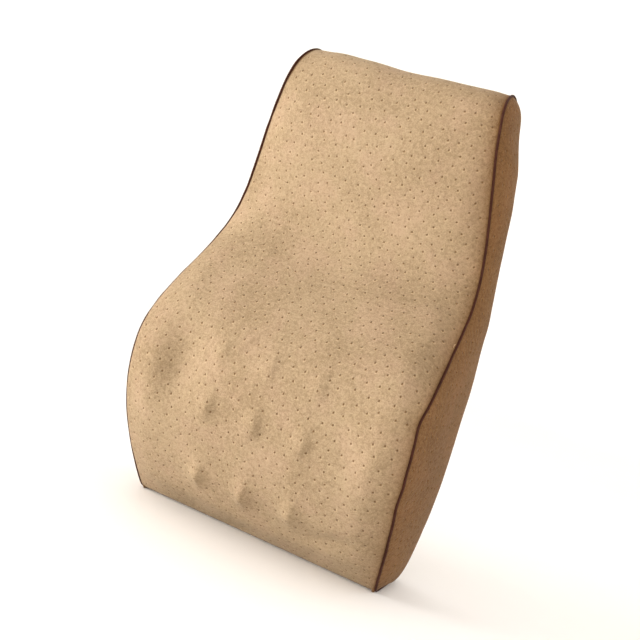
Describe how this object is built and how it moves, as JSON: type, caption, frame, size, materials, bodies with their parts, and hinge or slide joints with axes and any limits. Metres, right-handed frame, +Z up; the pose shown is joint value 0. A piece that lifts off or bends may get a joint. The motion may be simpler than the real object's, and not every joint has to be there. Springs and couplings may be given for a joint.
{
  "type": "lumbar support cushion",
  "caption": "Tall S-shaped back cushion: perforated suede cover with piped side panels, foam core with massage nubs, zip across the back.",
  "frame": {"origin": "centre of the flat base that the cushion stands on", "axes": "+Z up the spine from base to head, front (lumbar bulge) faces -Y, back faces +Y, +X to the right seen from the front"},
  "size_m": [0.309, 0.1531, 0.4812],
  "materials": {
    "suede": "tan perforated faux suede, napped",
    "piping": "dark brown bias-cut piping",
    "liner_knit": "off-white knitted liner",
    "foam": "moulded open-cell foam, matt",
    "nub_rubber": "moulded rubber, satin",
    "zip_tape": "woven polyester tape",
    "zip_nylon": "moulded teeth, satin",
    "zip_metal": "antique brass plating, worn"
  },
  "bodies": {
    "cushion": {"wrap_panel": "suede", "side_panel_left": "suede", "side_panel_right": "suede", "piping_left": "piping", "piping_right": "piping", "inner_liner": "liner_knit", "foam_core": "foam", "massage_nub_1_1": "nub_rubber", "massage_nub_1_2": "nub_rubber", "massage_nub_1_3": "nub_rubber", "massage_nub_2_1": "nub_rubber", "massage_nub_2_2": "nub_rubber", "massage_nub_2_3": "nub_rubber", "massage_nub_3_1": "nub_rubber", "massage_nub_3_2": "nub_rubber", "massage_nub_3_3": "nub_rubber", "zip_tape_upper": "zip_tape", "zip_tape_lower": "zip_tape", "zip_teeth_upper": "zip_nylon", "zip_teeth_lower": "zip_nylon", "zip_top_stop_upper": "zip_metal", "zip_top_stop_lower": "zip_metal", "zip_bottom_stop": "zip_metal"},
    "slider": {"zip_slider": "zip_metal"},
    "pull_tab": {"zip_pull_tab": "zip_metal"}
  },
  "joints": [
    {"name": "zip_slide", "type": "slide", "parent": "cushion", "child": "slider", "axis": [-1, 0, 0], "range_m": [0, 0.23], "deforming": ["zip_teeth_upper", "zip_teeth_lower"]},
    {"name": "pull_tab_flip", "type": "hinge", "parent": "slider", "child": "pull_tab", "pos_m": [0.11652, 0.04365, 0.105], "axis": [0, 0, -1], "range_deg": [0, 165]}
  ]
}
